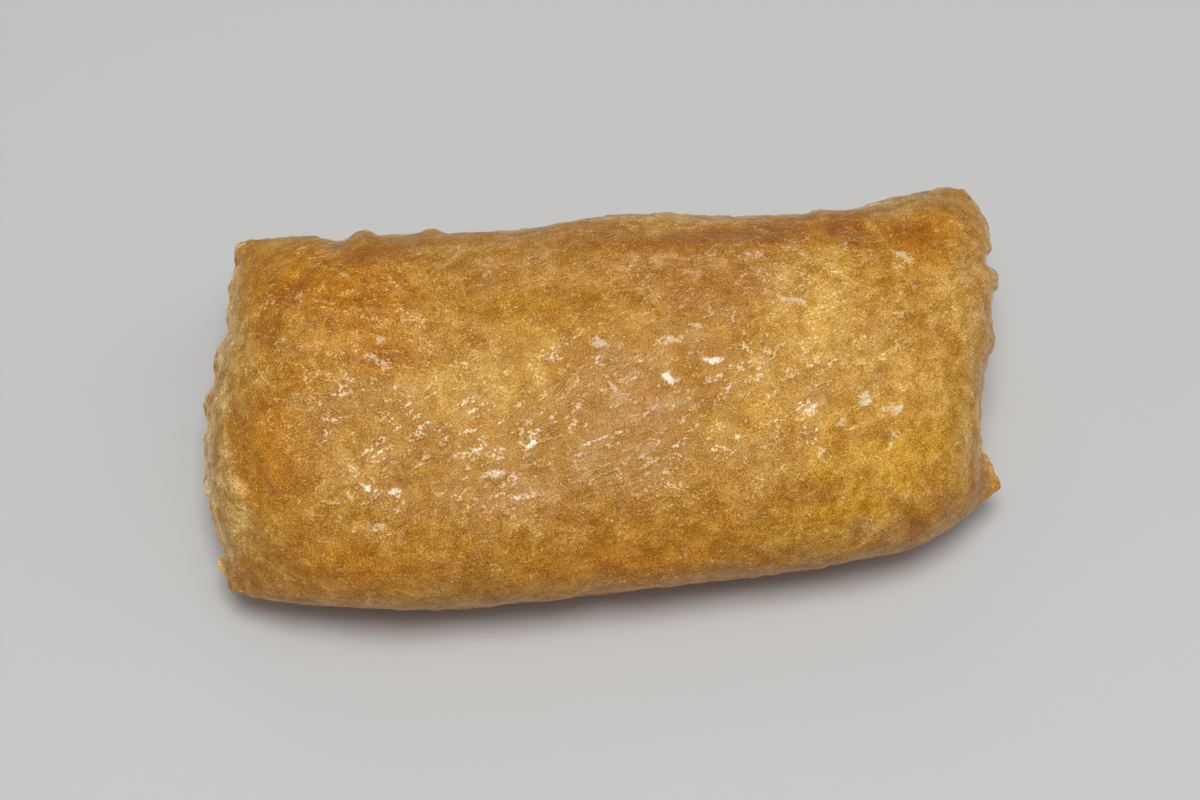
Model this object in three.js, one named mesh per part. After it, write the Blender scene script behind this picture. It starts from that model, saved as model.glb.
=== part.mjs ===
// Inari sushi: one simmered tofu pouch, closed round its rice and lying on its folded mouth.
// Millimetres. +X runs along the pouch, -Y is its front, +Z is up, and the origin is on the
// table under the middle of the pouch.
//
// The pouch is two skins joined at a rim. Its middle plane slopes down to the front. A place on
// it has two measures: x, along the pouch, and q, up the slope from the front edge to the back
// edge. The skins puff out of that plane by a third measure, w, which leans to the front.
import * as THREE from "three";
import { mergeVertices } from "three/addons/utils/BufferGeometryUtils.js";

const HALF_LENGTH = 40;
const HALF_WIDTH = 18;

const LIE = THREE.MathUtils.degToRad(18); // slope of the middle plane, back edge high
const LEAN = THREE.MathUtils.degToRad(30); // lean of the puff, from upright to the front
const CENTRE_HEIGHT = 11.6; // of the middle plane over the table
const PUFF_UP = 13.6;
const PUFF_DOWN = 15.5; // before the table flattens it
const SECTION_FULLNESS = 2.5; // exponent of the cross-section: 2 is an ellipse, more is boxier
const END_FULLNESS = 7; // exponent of the blunt ends
const END_ROUNDING = 2.1;
const BODY_END = 0.99; // where the puff ends, as a share of the half length
const RIM = 1.1; // half the thickness of the pressed rim
const RIM_START = 0.965; // where the rim starts to round off, as a share of the half length
const BASE_ROUNDING = 2.2; // blend between the belly and the flat it rests on

// The outline of the middle plane. Long edges: [x, q]. End edges: [q, x].
const BACK_EDGE = [
  [-35, 20.3], [-29.5, 20.2], [-20, 19.4], [-8, 18.3], [3, 18.8],
  [16, 17.2], [26, 16.7], [34, 18], [40.5, 18.6],
];
const FRONT_EDGE = [
  [-40.5, -14.8], [-36, -16.2], [-28, -18], [-18, -19.4], [-4, -19.4],
  [14, -19.4], [26, -18.8], [33, -17], [39.2, -13.2],
];
const LEFT_EDGE = [
  [-15, -39.2], [-9.5, -39.6], [-5, -40.1], [1, -39.9], [6, -38.6], [12, -36.9], [20, -35.1],
];
const RIGHT_EDGE = [
  [-13.2, 38.7], [-8.6, 37.5], [-3, 38.5], [3, 40.4], [8, 41.1], [13, 41.6], [18, 40.8],
];

// Corners drawn in a little: which end, which side, and by how much of their distance out.
// The fourth corner, front right, stays a sharp ear.
const ROUNDED_CORNERS = [
  { end: -1, side: 1, share: 0.007 },
  { end: 1, side: 1, share: 0.03 },
  { end: -1, side: -1, share: 0.01 },
];
const CORNER_ACROSS = 1.6; // how much more a corner is drawn in across the pouch than along it
const CORNER_POWERS = [14, 7]; // how near the corner that stays, along and across
const CORNER_FLATNESS = 0.55; // the share of the puff that a corner lacks
const FLATNESS_POWERS = [7, 3];

// Nibs and nicks of the crust along an edge: [place along it, shift of the edge, half length]
const BACK_NIBS = [
  [-24.7, -0.7, 2.6], [-22.2, 0.5, 2], [-15.3, 0.6, 2], [9, 0.25, 3], [24.5, 0.3, 2.5],
];
const RIGHT_NIBS = [
  [9.8, -0.7, 1.4], [8, 0.7, 1.5], [4.5, -0.3, 1.5], [1.5, 0.35, 1.8], [-9.5, -0.2, 1],
];
const LEFT_NIBS = [
  [3.9, -0.4, 1.5], [1.8, 0.4, 1.3], [11.1, 0.5, 1.6], [8.6, -0.2, 1.6],
  [-12.9, -0.6, 1.5], [-11, 0.5, 1.2], [-7, -0.25, 2.5],
];
const NIB_FADE = 20; // power by which a nib fades inwards
const SETTLING_ROUNDS = 5; // for the long and the end edges, which depend on each other

// Dents and swellings of the upper skin: [x, q, half length, half width, turn in degrees, height]
const DENTS = [
  [-29.2, 14.2, 3.2, 1.8, 40, -0.8],
  [-26.3, 9.9, 4.2, 4, 0, 0.6],
  [-33.8, 10, 1.6, 1.8, 0, 0.35],
  [35.3, 15.2, 4, 2.4, 0, 0.5],
  [37.6, 8.7, 2.6, 1.7, 0, -0.5],
  [35.2, -6, 1.2, 1.9, 0, -0.45],
  [22.2, -5.6, 2.8, 2.2, 20, -0.45],
  [22.5, -16, 2.8, 1.7, 0, -0.35],
  [-20.5, -6.5, 5, 2.5, -15, -0.3],
  [-12, 11.5, 7, 3, -10, -0.3],
  [12, 12.5, 7, 2.5, -5, -0.35],
  [25, 5, 6, 4, 30, 0.35],
  [-16, -10, 7, 3, -5, 0.3],
  [-4, 7, 5, 3, 0, 0.3],
  [15, -10, 7, 3, 10, 0.3],
  [4, -15.5, 8, 2.2, 0, -0.3],
];

// Creases and small ridges of the upper skin, each along a path of [x, q]
const CREASES = [
  {
    halfWidth: 1.9,
    height: -1,
    path: [[-35.9, 4], [-35.8, 0], [-34.6, -5.5], [-35.6, -8.3], [-37, -11.1]],
  },
  { halfWidth: 1.6, height: -0.8, path: [[-31.9, 12.6], [-32.1, 8.7]] },
  { halfWidth: 1.5, height: -0.5, path: [[-23.7, 17.6], [-18.2, 17.2]] },
  { halfWidth: 1.4, height: -0.45, path: [[-5, 16.3], [4, 16.9], [14, 15.6], [24, 14.8]] },
  { halfWidth: 1.8, height: -0.8, path: [[27.4, 15.2], [27.8, 12.6]] },
  { halfWidth: 1.3, height: 0.5, path: [[29.4, 15.6], [30.3, 12.1]] },
  { halfWidth: 2, height: -0.75, path: [[31.8, 14.3], [34.1, 12.8], [36.6, 13.1]] },
  { halfWidth: 1.8, height: -0.8, path: [[37, -11.2], [36, -14.2]] },
  { halfWidth: 1.4, height: -0.4, path: [[-1.3, 2.8], [2, 1.8], [5.4, 1]] },
  { halfWidth: 1.3, height: -0.35, path: [[8, 5.2], [8.3, 0.2]] },
  { halfWidth: 1.4, height: -0.4, path: [[5.8, 8.2], [10, 7.1], [14.6, 5.8]] },
  { halfWidth: 1.4, height: -0.4, path: [[-3.6, -1.5], [-6.7, -5], [-4.7, -8.8]] },
];
const CREASE_LEAST = 0.15; // share of its depth that a crease keeps at its ends
const RELIEF_FADE = 2.5; // how soon the relief comes in from the rim

// Slow unevenness of both skins, as waves: [per mm along x, q and w], phase, height
const LUMPS = [
  { waves: [0.11, 0.34, 0.2], phase: 0.4, height: 0.12 },
  { waves: [-0.23, 0.17, 0.35], phase: 2.1, height: 0.11 },
  { waves: [0.37, -0.29, 0.3], phase: 4, height: 0.07 },
  { waves: [0.19, 0.61, -0.3], phase: 1.2, height: 0.06 },
  { waves: [0.53, 0.41, 0.5], phase: 5.2, height: 0.05 },
  { waves: [-0.47, 0.73, 0.1], phase: 3.3, height: 0.05 },
  { waves: [0.89, -0.13, -0.4], phase: 0.9, height: 0.04 },
];
const SIDEWAYS_SWELL = 0.7; // share of a lump that shows at the long edges

// The mouth, folded under: a wavy line along the base, where one lip steps up behind the other
const MOUTH_Y = -6;
const MOUTH_WAVE = 1.1;
const MOUTH_WAVE_LENGTH = 55;
const MOUTH_HALF_LENGTH = 31;
const MOUTH_STEP = 1.3;
const MOUTH_RETURN = 4.5; // how far behind the line the base is flat again
const MOUTH_DEPTH = 1;

// The mesh: rings along the pouch, each with its points round the section
const RINGS = 63;
const RING_POINTS = 62;
const FINE_STEPS = 4000; // for measuring a curve before its points are spaced evenly

// 1 in the middle, falling smoothly to exactly 0 at a distance of 1.
function bump(distance) {
  const rest = Math.max(0, 1 - distance * distance);
  return rest * rest;
}

// A smooth curve through points whose first numbers rise, and straight on from its ends.
function curveThrough(points) {
  const last = points.length - 1;
  const slopes = points.map((point, i) => {
    const before = points[Math.max(0, i - 1)];
    const after = points[Math.min(last, i + 1)];
    return (after[1] - before[1]) / (after[0] - before[0]);
  });
  return (place) => {
    const at = THREE.MathUtils.clamp(place, points[0][0], points[last][0]);
    let i = 0;
    while (i < last - 1 && at >= points[i + 1][0]) i += 1;
    const [x0, y0] = points[i];
    const [x1, y1] = points[i + 1];
    const span = x1 - x0;
    const t = (at - x0) / span;
    const u = 1 - t;
    const start = (1 + 2 * t) * u * u * y0 + t * u * u * span * slopes[i];
    const end = t * t * (3 - 2 * t) * y1 - t * t * u * span * slopes[i + 1];
    return start + end;
  };
}

const backEdge = curveThrough(BACK_EDGE);
const frontEdge = curveThrough(FRONT_EDGE);
const leftEdge = curveThrough(LEFT_EDGE);
const rightEdge = curveThrough(RIGHT_EDGE);

function nibsAt(nibs, place) {
  return nibs.reduce((sum, [at, out, halfLength]) => sum + out * bump((place - at) / halfLength), 0);
}

// 1 at a corner, falling to 0 along the edges away from it.
function cornerShare(s, v, [alongPower, acrossPower]) {
  return Math.abs(s) ** alongPower * Math.abs(v) ** acrossPower;
}

// The place [x, q] in the middle plane of s, from end to end, and v, from front to back: -1 to 1.
function middlePlace(s, v) {
  const alongShare = (s + 1) / 2;
  const upShare = (v + 1) / 2;
  let x = HALF_LENGTH * s;
  let q = HALF_WIDTH * v;
  // x depends on q through the end edges and q on x through the long ones, so they settle together
  for (let round = 0; round < SETTLING_ROUNDS; round += 1) {
    const low = leftEdge(q) + nibsAt(LEFT_NIBS, q) * (1 - alongShare) ** NIB_FADE;
    const high = rightEdge(q) + nibsAt(RIGHT_NIBS, q) * alongShare ** NIB_FADE;
    x = THREE.MathUtils.lerp(low, high, alongShare);
    const back = backEdge(x) + nibsAt(BACK_NIBS, x) * upShare ** NIB_FADE;
    q = THREE.MathUtils.lerp(frontEdge(x), back, upShare);
  }
  const nearCorner = cornerShare(s, v, CORNER_POWERS);
  const drawIn = ROUNDED_CORNERS.reduce(
    (sum, { end, side, share }) => sum + (share * (1 + end * s) * (1 + side * v)) / 4,
    0,
  );
  return [x * (1 - drawIn * nearCorner), q * (1 - CORNER_ACROSS * drawIn * nearCorner)];
}

// A crease is deepest half way along its path and runs out at both ends.
function creaseDepth(x, q, { halfWidth, height, path }) {
  let nearest = Infinity;
  let share = 0;
  for (let i = 1; i < path.length; i += 1) {
    const [x0, q0] = path[i - 1];
    const dx = path[i][0] - x0;
    const dq = path[i][1] - q0;
    const t = THREE.MathUtils.clamp(((x - x0) * dx + (q - q0) * dq) / (dx * dx + dq * dq), 0, 1);
    const distance = Math.hypot(x - x0 - t * dx, q - q0 - t * dq);
    if (distance < nearest) {
      nearest = distance;
      share = (i - 1 + t) / (path.length - 1);
    }
  }
  const taper = CREASE_LEAST + (1 - CREASE_LEAST) * Math.sqrt(bump(2 * share - 1));
  return height * taper * bump(nearest / halfWidth);
}

function upperRelief(x, q) {
  let height = 0;
  for (const [x0, q0, halfLength, halfWidth, turn, dent] of DENTS) {
    const angle = THREE.MathUtils.degToRad(turn);
    const along = ((x - x0) * Math.cos(angle) + (q - q0) * Math.sin(angle)) / halfLength;
    const across = ((q - q0) * Math.cos(angle) - (x - x0) * Math.sin(angle)) / halfWidth;
    height += dent * bump(Math.hypot(along, across));
  }
  for (const crease of CREASES) height += creaseDepth(x, q, crease);
  return height;
}

function lumpsAt(x, q, w) {
  return LUMPS.reduce(
    (sum, { waves, phase, height }) =>
      sum + height * Math.sin(waves[0] * x + waves[1] * q + waves[2] * w + phase),
    0,
  );
}

// The larger of the height and 0, with the change between them rounded off.
function restOnTable(height) {
  const share = THREE.MathUtils.clamp(0.5 + (0.5 * height) / BASE_ROUNDING, 0, 1);
  return height * share + BASE_ROUNDING * share * (1 - share);
}

function mouthFold(x, y) {
  const behind = y - MOUTH_Y - MOUTH_WAVE * Math.sin((2 * Math.PI * x) / MOUTH_WAVE_LENGTH);
  const step = bump(behind / (behind < 0 ? MOUTH_STEP : MOUTH_RETURN));
  return MOUTH_DEPTH * step * Math.sqrt(bump(x / MOUTH_HALF_LENGTH));
}

// The section: v from front to back and rise out of the middle plane, both as shares.
function sectionPlace(turn) {
  const power = 2 / SECTION_FULLNESS;
  const towardsBack = Math.cos(turn);
  return [Math.sign(towardsBack) * Math.abs(towardsBack) ** power, Math.abs(Math.sin(turn)) ** power];
}

// How full the puff still is at s, from 1 in the middle to 0 near the ends.
function bluntEnd(s) {
  return Math.max(0, 1 - Math.abs(s / BODY_END) ** END_FULLNESS) ** (1 / END_ROUNDING);
}

// How thick the rim still is at s, from 1 to 0 on its rounded edge.
function roundRim(s) {
  const pastStart = Math.max(0, Math.abs(s) - RIM_START) / (1 - RIM_START);
  return Math.sqrt(Math.max(0, 1 - pastStart ** 2));
}

// A point of the skin: s from end to end, -1 to 1, and turn round the section, from the back
// edge over the upper skin to the front edge and back under the belly.
function skinPoint(s, turn) {
  const [v, rise] = sectionPlace(turn);
  const upper = Math.sin(turn) >= 0;
  let [x, q] = middlePlace(s, v);

  const flatCorner = 1 - CORNER_FLATNESS * cornerShare(s, v, FLATNESS_POWERS);
  const body = (upper ? PUFF_UP : PUFF_DOWN) * rise * bluntEnd(s) * flatCorner;
  const rim = RIM * Math.sqrt(rise) * roundRim(s);
  let w = Math.cbrt(body ** 3 + rim ** 3);
  if (upper) w += upperRelief(x, q) * Math.min(1, RELIEF_FADE * rise) * roundRim(s);
  if (!upper) w = -w;

  const swell = lumpsAt(x, q, w) * roundRim(s);
  q += SIDEWAYS_SWELL * swell * Math.cos(turn);
  w += swell * Math.sin(turn);

  const y = q * Math.cos(LIE) - w * Math.sin(LEAN);
  const z = restOnTable(CENTRE_HEIGHT + q * Math.sin(LIE) + w * Math.cos(LEAN));
  return new THREE.Vector3(x, y, upper ? z : z + mouthFold(x, y));
}

// The shares, 0 to 1, at which a curve has to be read so that count steps along it are even.
function evenShares(pointAt, count) {
  const lengths = [0];
  let before = pointAt(0);
  for (let i = 1; i <= FINE_STEPS; i += 1) {
    const point = pointAt(i / FINE_STEPS);
    lengths.push(lengths[i - 1] + Math.hypot(point[0] - before[0], point[1] - before[1]));
    before = point;
  }
  const shares = [];
  let fine = 0;
  for (let step = 0; step <= count; step += 1) {
    const wanted = (lengths[FINE_STEPS] * step) / count;
    while (fine < FINE_STEPS && lengths[fine] < wanted) fine += 1;
    shares.push(fine / FINE_STEPS);
  }
  return shares;
}

// Ring places from end to end, even along the skin's middle line and so close together on the ends.
function ringPlaces() {
  const placeAt = (share) => -Math.cos(Math.PI * share);
  const middleLine = (share) => {
    const s = placeAt(share);
    return [HALF_LENGTH * s, PUFF_UP * bluntEnd(s) + RIM * roundRim(s)];
  };
  return evenShares(middleLine, RINGS - 1).map(placeAt);
}

// Turns round the section, even along it, and the same on both skins so that the rims match.
function ringTurns() {
  const upperSection = (share) => {
    const [v, rise] = sectionPlace(Math.PI * share);
    return [HALF_WIDTH * v, PUFF_UP * rise];
  };
  const upper = evenShares(upperSection, RING_POINTS / 2).map((share) => Math.PI * share);
  const lower = upper.slice(1, -1).reverse().map((turn) => 2 * Math.PI - turn);
  return [...upper, ...lower];
}

// A tube of rings. The first and last ring are pressed flat, so merging their equal points
// joins the two skins and closes the pouch.
function pouchGeometry() {
  const places = ringPlaces();
  const turns = ringTurns();
  const positions = places.flatMap((s) => turns.map((turn) => skinPoint(s, turn)));
  const index = [];
  for (let i = 0; i < places.length - 1; i += 1) {
    for (let j = 0; j < RING_POINTS; j += 1) {
      const next = (j + 1) % RING_POINTS;
      const a = i * RING_POINTS + j;
      const b = i * RING_POINTS + next;
      const c = a + RING_POINTS;
      const d = b + RING_POINTS;
      index.push(a, b, c, b, d, c);
    }
  }
  const tube = new THREE.BufferGeometry().setFromPoints(positions).setIndex(index);
  const closed = mergeVertices(tube, 1e-3);

  // the origin goes under the middle of the pouch
  closed.computeBoundingBox();
  const middle = closed.boundingBox.getCenter(new THREE.Vector3());
  closed.translate(-middle.x, -middle.y, 0);
  closed.computeVertexNormals();
  return closed;
}

const tofuPouch = new THREE.Mesh(
  pouchGeometry(),
  new THREE.MeshStandardMaterial({ color: 0xb68540, roughness: 0.42, metalness: 0 }),
);
tofuPouch.name = "tofu_pouch";

const inariSushi = new THREE.Group();
inariSushi.name = "inari_sushi";
inariSushi.add(tofuPouch);

export default inariSushi;
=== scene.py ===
import math

import bpy
import numpy as np
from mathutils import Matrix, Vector


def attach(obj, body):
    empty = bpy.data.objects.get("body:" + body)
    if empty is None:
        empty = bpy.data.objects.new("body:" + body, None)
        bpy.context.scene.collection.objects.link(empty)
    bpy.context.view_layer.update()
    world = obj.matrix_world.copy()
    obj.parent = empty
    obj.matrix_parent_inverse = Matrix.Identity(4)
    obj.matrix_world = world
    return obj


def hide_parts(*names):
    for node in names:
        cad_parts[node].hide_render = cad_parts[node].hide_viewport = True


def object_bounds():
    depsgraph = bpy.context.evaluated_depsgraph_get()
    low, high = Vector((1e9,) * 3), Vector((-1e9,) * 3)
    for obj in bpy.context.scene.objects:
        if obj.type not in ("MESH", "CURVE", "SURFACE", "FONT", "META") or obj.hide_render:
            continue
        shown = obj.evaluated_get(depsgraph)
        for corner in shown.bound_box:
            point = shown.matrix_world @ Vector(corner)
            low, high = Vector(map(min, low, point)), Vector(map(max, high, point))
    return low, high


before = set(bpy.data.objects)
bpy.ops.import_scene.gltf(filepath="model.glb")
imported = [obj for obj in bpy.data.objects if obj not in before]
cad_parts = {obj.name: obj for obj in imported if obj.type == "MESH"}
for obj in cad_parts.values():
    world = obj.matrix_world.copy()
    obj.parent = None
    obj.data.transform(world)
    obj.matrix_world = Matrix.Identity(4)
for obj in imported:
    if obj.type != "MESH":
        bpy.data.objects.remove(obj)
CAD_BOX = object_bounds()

bl_info = {
    "name": "Inari sushi",
    "version": (1, 0, 0),
    "blender": (4, 5, 0),
    "location": "3D View > Sidebar > Inari sushi",
    "description": "Dresses the inari sushi in its simmered tofu skin and sets its stage",
    "category": "Object",
}

MM = 0.001
POUCH_NODE = "tofu_pouch"

# ---------------------------------------------------------------------------------------------
# The pouch's form, in millimetres. It is two skins joined at a rim. A place on its sloping middle
# plane has two measures: x, along the pouch, and q, up the slope from the front edge to the back
# edge. The skins puff out of that plane by a third measure, w, which leans to the front.

HALF_LENGTH = 40
HALF_WIDTH = 18
LIE = math.radians(18)  # slope of the middle plane, back edge high
LEAN = math.radians(30)  # lean of the puff, from upright to the front
CENTRE_HEIGHT = 11.6  # of the middle plane over the table
PUFF_UP = 13.6
PUFF_DOWN = 15.5  # before the table flattens it
SECTION_FULLNESS = 2.5  # exponent of the cross-section: 2 is an ellipse, more is boxier
END_FULLNESS = 7  # exponent of the blunt ends
END_ROUNDING = 2.1
BODY_END = 0.99  # where the puff ends, as a share of the half length
RIM = 1.1  # half the thickness of the pressed rim
RIM_START = 0.965  # where the rim starts to round off, as a share of the half length
BASE_ROUNDING = 2.2  # blend between the belly and the flat it rests on

# The outline of the middle plane. Long edges: (x, q). End edges: (q, x).
BACK_EDGE = [
    (-35, 20.3), (-29.5, 20.2), (-20, 19.4), (-8, 18.3), (3, 18.8),
    (16, 17.2), (26, 16.7), (34, 18), (40.5, 18.6),
]
FRONT_EDGE = [
    (-40.5, -14.8), (-36, -16.2), (-28, -18), (-18, -19.4), (-4, -19.4),
    (14, -19.4), (26, -18.8), (33, -17), (39.2, -13.2),
]
LEFT_EDGE = [
    (-15, -39.2), (-9.5, -39.6), (-5, -40.1), (1, -39.9), (6, -38.6), (12, -36.9), (20, -35.1),
]
RIGHT_EDGE = [
    (-13.2, 38.7), (-8.6, 37.5), (-3, 38.5), (3, 40.4), (8, 41.1), (13, 41.6), (18, 40.8),
]

# Corners drawn in a little: end, side, and by how much of their distance out
ROUNDED_CORNERS = [(-1, 1, 0.007), (1, 1, 0.03), (-1, -1, 0.01)]
CORNER_ACROSS = 1.6
CORNER_POWERS = (14, 7)
CORNER_FLATNESS = 0.55
FLATNESS_POWERS = (7, 3)

# Nibs and nicks of the crust along an edge: place along it, shift of the edge, half length
BACK_NIBS = [(-24.7, -0.7, 2.6), (-22.2, 0.5, 2), (-15.3, 0.6, 2), (9, 0.25, 3), (24.5, 0.3, 2.5)]
RIGHT_NIBS = [(9.8, -0.7, 1.4), (8, 0.7, 1.5), (4.5, -0.3, 1.5), (1.5, 0.35, 1.8), (-9.5, -0.2, 1)]
LEFT_NIBS = [
    (3.9, -0.4, 1.5), (1.8, 0.4, 1.3), (11.1, 0.5, 1.6), (8.6, -0.2, 1.6),
    (-12.9, -0.6, 1.5), (-11, 0.5, 1.2), (-7, -0.25, 2.5),
]
NIB_FADE = 20
SETTLING_ROUNDS = 5

# Dents and swellings of the upper skin: x, q, half length, half width, turn in degrees, height
DENTS = [
    (-29.2, 14.2, 3.2, 1.8, 40, -0.8),
    (-26.3, 9.9, 4.2, 4, 0, 0.6),
    (-33.8, 10, 1.6, 1.8, 0, 0.35),
    (35.3, 15.2, 4, 2.4, 0, 0.5),
    (37.6, 8.7, 2.6, 1.7, 0, -0.5),
    (35.2, -6, 1.2, 1.9, 0, -0.45),
    (22.2, -5.6, 2.8, 2.2, 20, -0.45),
    (22.5, -16, 2.8, 1.7, 0, -0.35),
    (-20.5, -6.5, 5, 2.5, -15, -0.3),
    (-12, 11.5, 7, 3, -10, -0.3),
    (12, 12.5, 7, 2.5, -5, -0.35),
    (25, 5, 6, 4, 30, 0.35),
    (-16, -10, 7, 3, -5, 0.3),
    (-4, 7, 5, 3, 0, 0.3),
    (15, -10, 7, 3, 10, 0.3),
    (4, -15.5, 8, 2.2, 0, -0.3),
]

# Creases and small ridges of the upper skin: half width, height, path of (x, q)
CREASES = [
    (1.9, -1, [(-35.9, 4), (-35.8, 0), (-34.6, -5.5), (-35.6, -8.3), (-37, -11.1)]),
    (1.6, -0.8, [(-31.9, 12.6), (-32.1, 8.7)]),
    (1.5, -0.5, [(-23.7, 17.6), (-18.2, 17.2)]),
    (1.4, -0.45, [(-5, 16.3), (4, 16.9), (14, 15.6), (24, 14.8)]),
    (1.8, -0.8, [(27.4, 15.2), (27.8, 12.6)]),
    (1.3, 0.5, [(29.4, 15.6), (30.3, 12.1)]),
    (2, -0.75, [(31.8, 14.3), (34.1, 12.8), (36.6, 13.1)]),
    (1.8, -0.8, [(37, -11.2), (36, -14.2)]),
    (1.4, -0.4, [(-1.3, 2.8), (2, 1.8), (5.4, 1)]),
    (1.3, -0.35, [(8, 5.2), (8.3, 0.2)]),
    (1.4, -0.4, [(5.8, 8.2), (10, 7.1), (14.6, 5.8)]),
    (1.4, -0.4, [(-3.6, -1.5), (-6.7, -5), (-4.7, -8.8)]),
]
CREASE_LEAST = 0.15
RELIEF_FADE = 2.5
ROUNDING = 1e-9  # a sine this far under 0 still counts as the rim

# Slow unevenness of both skins, as waves: (per mm along x, q and w), phase, height
LUMPS = [
    ((0.11, 0.34, 0.2), 0.4, 0.12),
    ((-0.23, 0.17, 0.35), 2.1, 0.11),
    ((0.37, -0.29, 0.3), 4, 0.07),
    ((0.19, 0.61, -0.3), 1.2, 0.06),
    ((0.53, 0.41, 0.5), 5.2, 0.05),
    ((-0.47, 0.73, 0.1), 3.3, 0.05),
    ((0.89, -0.13, -0.4), 0.9, 0.04),
]
SIDEWAYS_SWELL = 0.7

# The mouth, folded under: a wavy line along the base, where one lip steps up behind the other
MOUTH_Y = -6
MOUTH_WAVE = 1.1
MOUTH_WAVE_LENGTH = 55
MOUTH_HALF_LENGTH = 31
MOUTH_STEP = 1.3
MOUTH_RETURN = 4.5
MOUTH_DEPTH = 1

# The mesh: rings along the pouch, each with steps over the upper skin and back under the belly.
# The upper skin shows most, so its steps are half as long as the lower skin's.
RINGS = 328
UPPER_STEPS = 200
LOWER_STEPS = UPPER_STEPS // 2
FINE_STEPS = 4000  # for measuring a curve before its points are spaced evenly
LEAST_LENGTH = 1e-12  # of a normal, against division by 0

# How noise moves what is drawn on the skin, for wavy edges: reach along x and q, cell, two seeds
RELIEF_WANDER = ((0.6, 0.6), 2.3, (11, 12))
ZONE_WANDER = ((1.6, 1.2), 3.5, (41, 42))
SPOT_WANDER = ((0.35, 0.35), 0.9, (51, 52))


def bump(distance):
    """1 in the middle, falling smoothly to exactly 0 at a distance of 1."""
    return np.clip(1 - distance * distance, 0, None) ** 2


def smooth_step(low, high, value):
    """0 up to low, 1 from high on, and smooth between them. low may be the larger one."""
    share = np.clip((value - low) / (high - low), 0, 1)
    return share * share * (3 - 2 * share)


def curve_through(points):
    """A smooth curve through points whose first numbers rise, flat outside them."""
    x, y = np.array(points, float).T
    slope = np.gradient(y, x)
    slope[1:-1] = (y[2:] - y[:-2]) / (x[2:] - x[:-2])

    def curve(place):
        at = np.clip(place, x[0], x[-1])
        i = np.clip(np.searchsorted(x, at, side="right") - 1, 0, len(x) - 2)
        span = x[i + 1] - x[i]
        t = (at - x[i]) / span
        start = (1 + 2 * t) * (1 - t) ** 2 * y[i] + t * (1 - t) ** 2 * span * slope[i]
        end = t * t * (3 - 2 * t) * y[i + 1] + t * t * (t - 1) * span * slope[i + 1]
        return start + end

    return curve


back_edge = curve_through(BACK_EDGE)
front_edge = curve_through(FRONT_EDGE)
left_edge = curve_through(LEFT_EDGE)
right_edge = curve_through(RIGHT_EDGE)


def nibs_at(nibs, place):
    return sum(out * bump((place - at) / half_length) for at, out, half_length in nibs)


def corner_share(s, v, powers):
    """1 at a corner, falling to 0 along the edges away from it."""
    return np.abs(s) ** powers[0] * np.abs(v) ** powers[1]


def middle_place(s, v):
    """The place (x, q) in the middle plane of s, end to end, and v, front to back: -1 to 1."""
    along, up = (s + 1) / 2, (v + 1) / 2
    x, q = HALF_LENGTH * s, HALF_WIDTH * v
    for _ in range(SETTLING_ROUNDS):
        low = left_edge(q) + nibs_at(LEFT_NIBS, q) * (1 - along) ** NIB_FADE
        high = right_edge(q) + nibs_at(RIGHT_NIBS, q) * along ** NIB_FADE
        x = low + (high - low) * along
        back = back_edge(x) + nibs_at(BACK_NIBS, x) * up ** NIB_FADE
        q = front_edge(x) + (back - front_edge(x)) * up
    near = corner_share(s, v, CORNER_POWERS)
    draw_in = sum(share * (1 + end * s) * (1 + side * v) / 4 for end, side, share in ROUNDED_CORNERS)
    return x * (1 - draw_in * near), q * (1 - CORNER_ACROSS * draw_in * near)


def line_distance(x, q, path):
    """How far (x, q) is from a path, and at which share of the path it is nearest."""
    nearest = np.full(np.shape(x), np.inf)
    share = np.zeros(np.shape(x))
    for i, ((x0, q0), (x1, q1)) in enumerate(zip(path, path[1:])):
        dx, dq = x1 - x0, q1 - q0
        t = np.clip(((x - x0) * dx + (q - q0) * dq) / (dx * dx + dq * dq), 0, 1)
        distance = np.hypot(x - x0 - t * dx, q - q0 - t * dq)
        share = np.where(distance < nearest, (i + t) / (len(path) - 1), share)
        nearest = np.minimum(nearest, distance)
    return nearest, share


def patch(x, q, x0, q0, half_length, half_width, turn):
    """1 in the middle of an oval patch, falling to 0 at its edge. turn is in degrees."""
    c, s = math.cos(math.radians(turn)), math.sin(math.radians(turn))
    along = ((x - x0) * c + (q - q0) * s) / half_length
    across = ((q - q0) * c - (x - x0) * s) / half_width
    return bump(np.minimum(np.hypot(along, across), 1))


def upper_relief(x, q):
    height = np.zeros(np.shape(x))
    for *place, dent in DENTS:
        height += dent * patch(x, q, *place)
    for half_width, depth, path in CREASES:
        distance, share = line_distance(x, q, path)
        taper = CREASE_LEAST + (1 - CREASE_LEAST) * np.sqrt(bump(2 * share - 1))
        height += depth * taper * bump(distance / half_width)
    return height


def lumps_at(x, q, w):
    return sum(
        height * np.sin(waves[0] * x + waves[1] * q + waves[2] * w + phase)
        for waves, phase, height in LUMPS
    )


def rest_on_table(height):
    """The larger of the height and 0, with the change between them rounded off."""
    share = np.clip(0.5 + 0.5 * height / BASE_ROUNDING, 0, 1)
    return height * share + BASE_ROUNDING * share * (1 - share)


def mouth_fold(x, y):
    behind = y - MOUTH_Y - MOUTH_WAVE * np.sin(2 * np.pi * x / MOUTH_WAVE_LENGTH)
    step = bump(behind / np.where(behind < 0, MOUTH_STEP, MOUTH_RETURN))
    return MOUTH_DEPTH * step * np.sqrt(bump(x / MOUTH_HALF_LENGTH))


def section_place(turn):
    """The section: v from front to back and rise out of the middle plane, both as shares."""
    power = 2 / SECTION_FULLNESS
    towards_back = np.cos(turn)
    return np.sign(towards_back) * np.abs(towards_back) ** power, np.abs(np.sin(turn)) ** power


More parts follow.
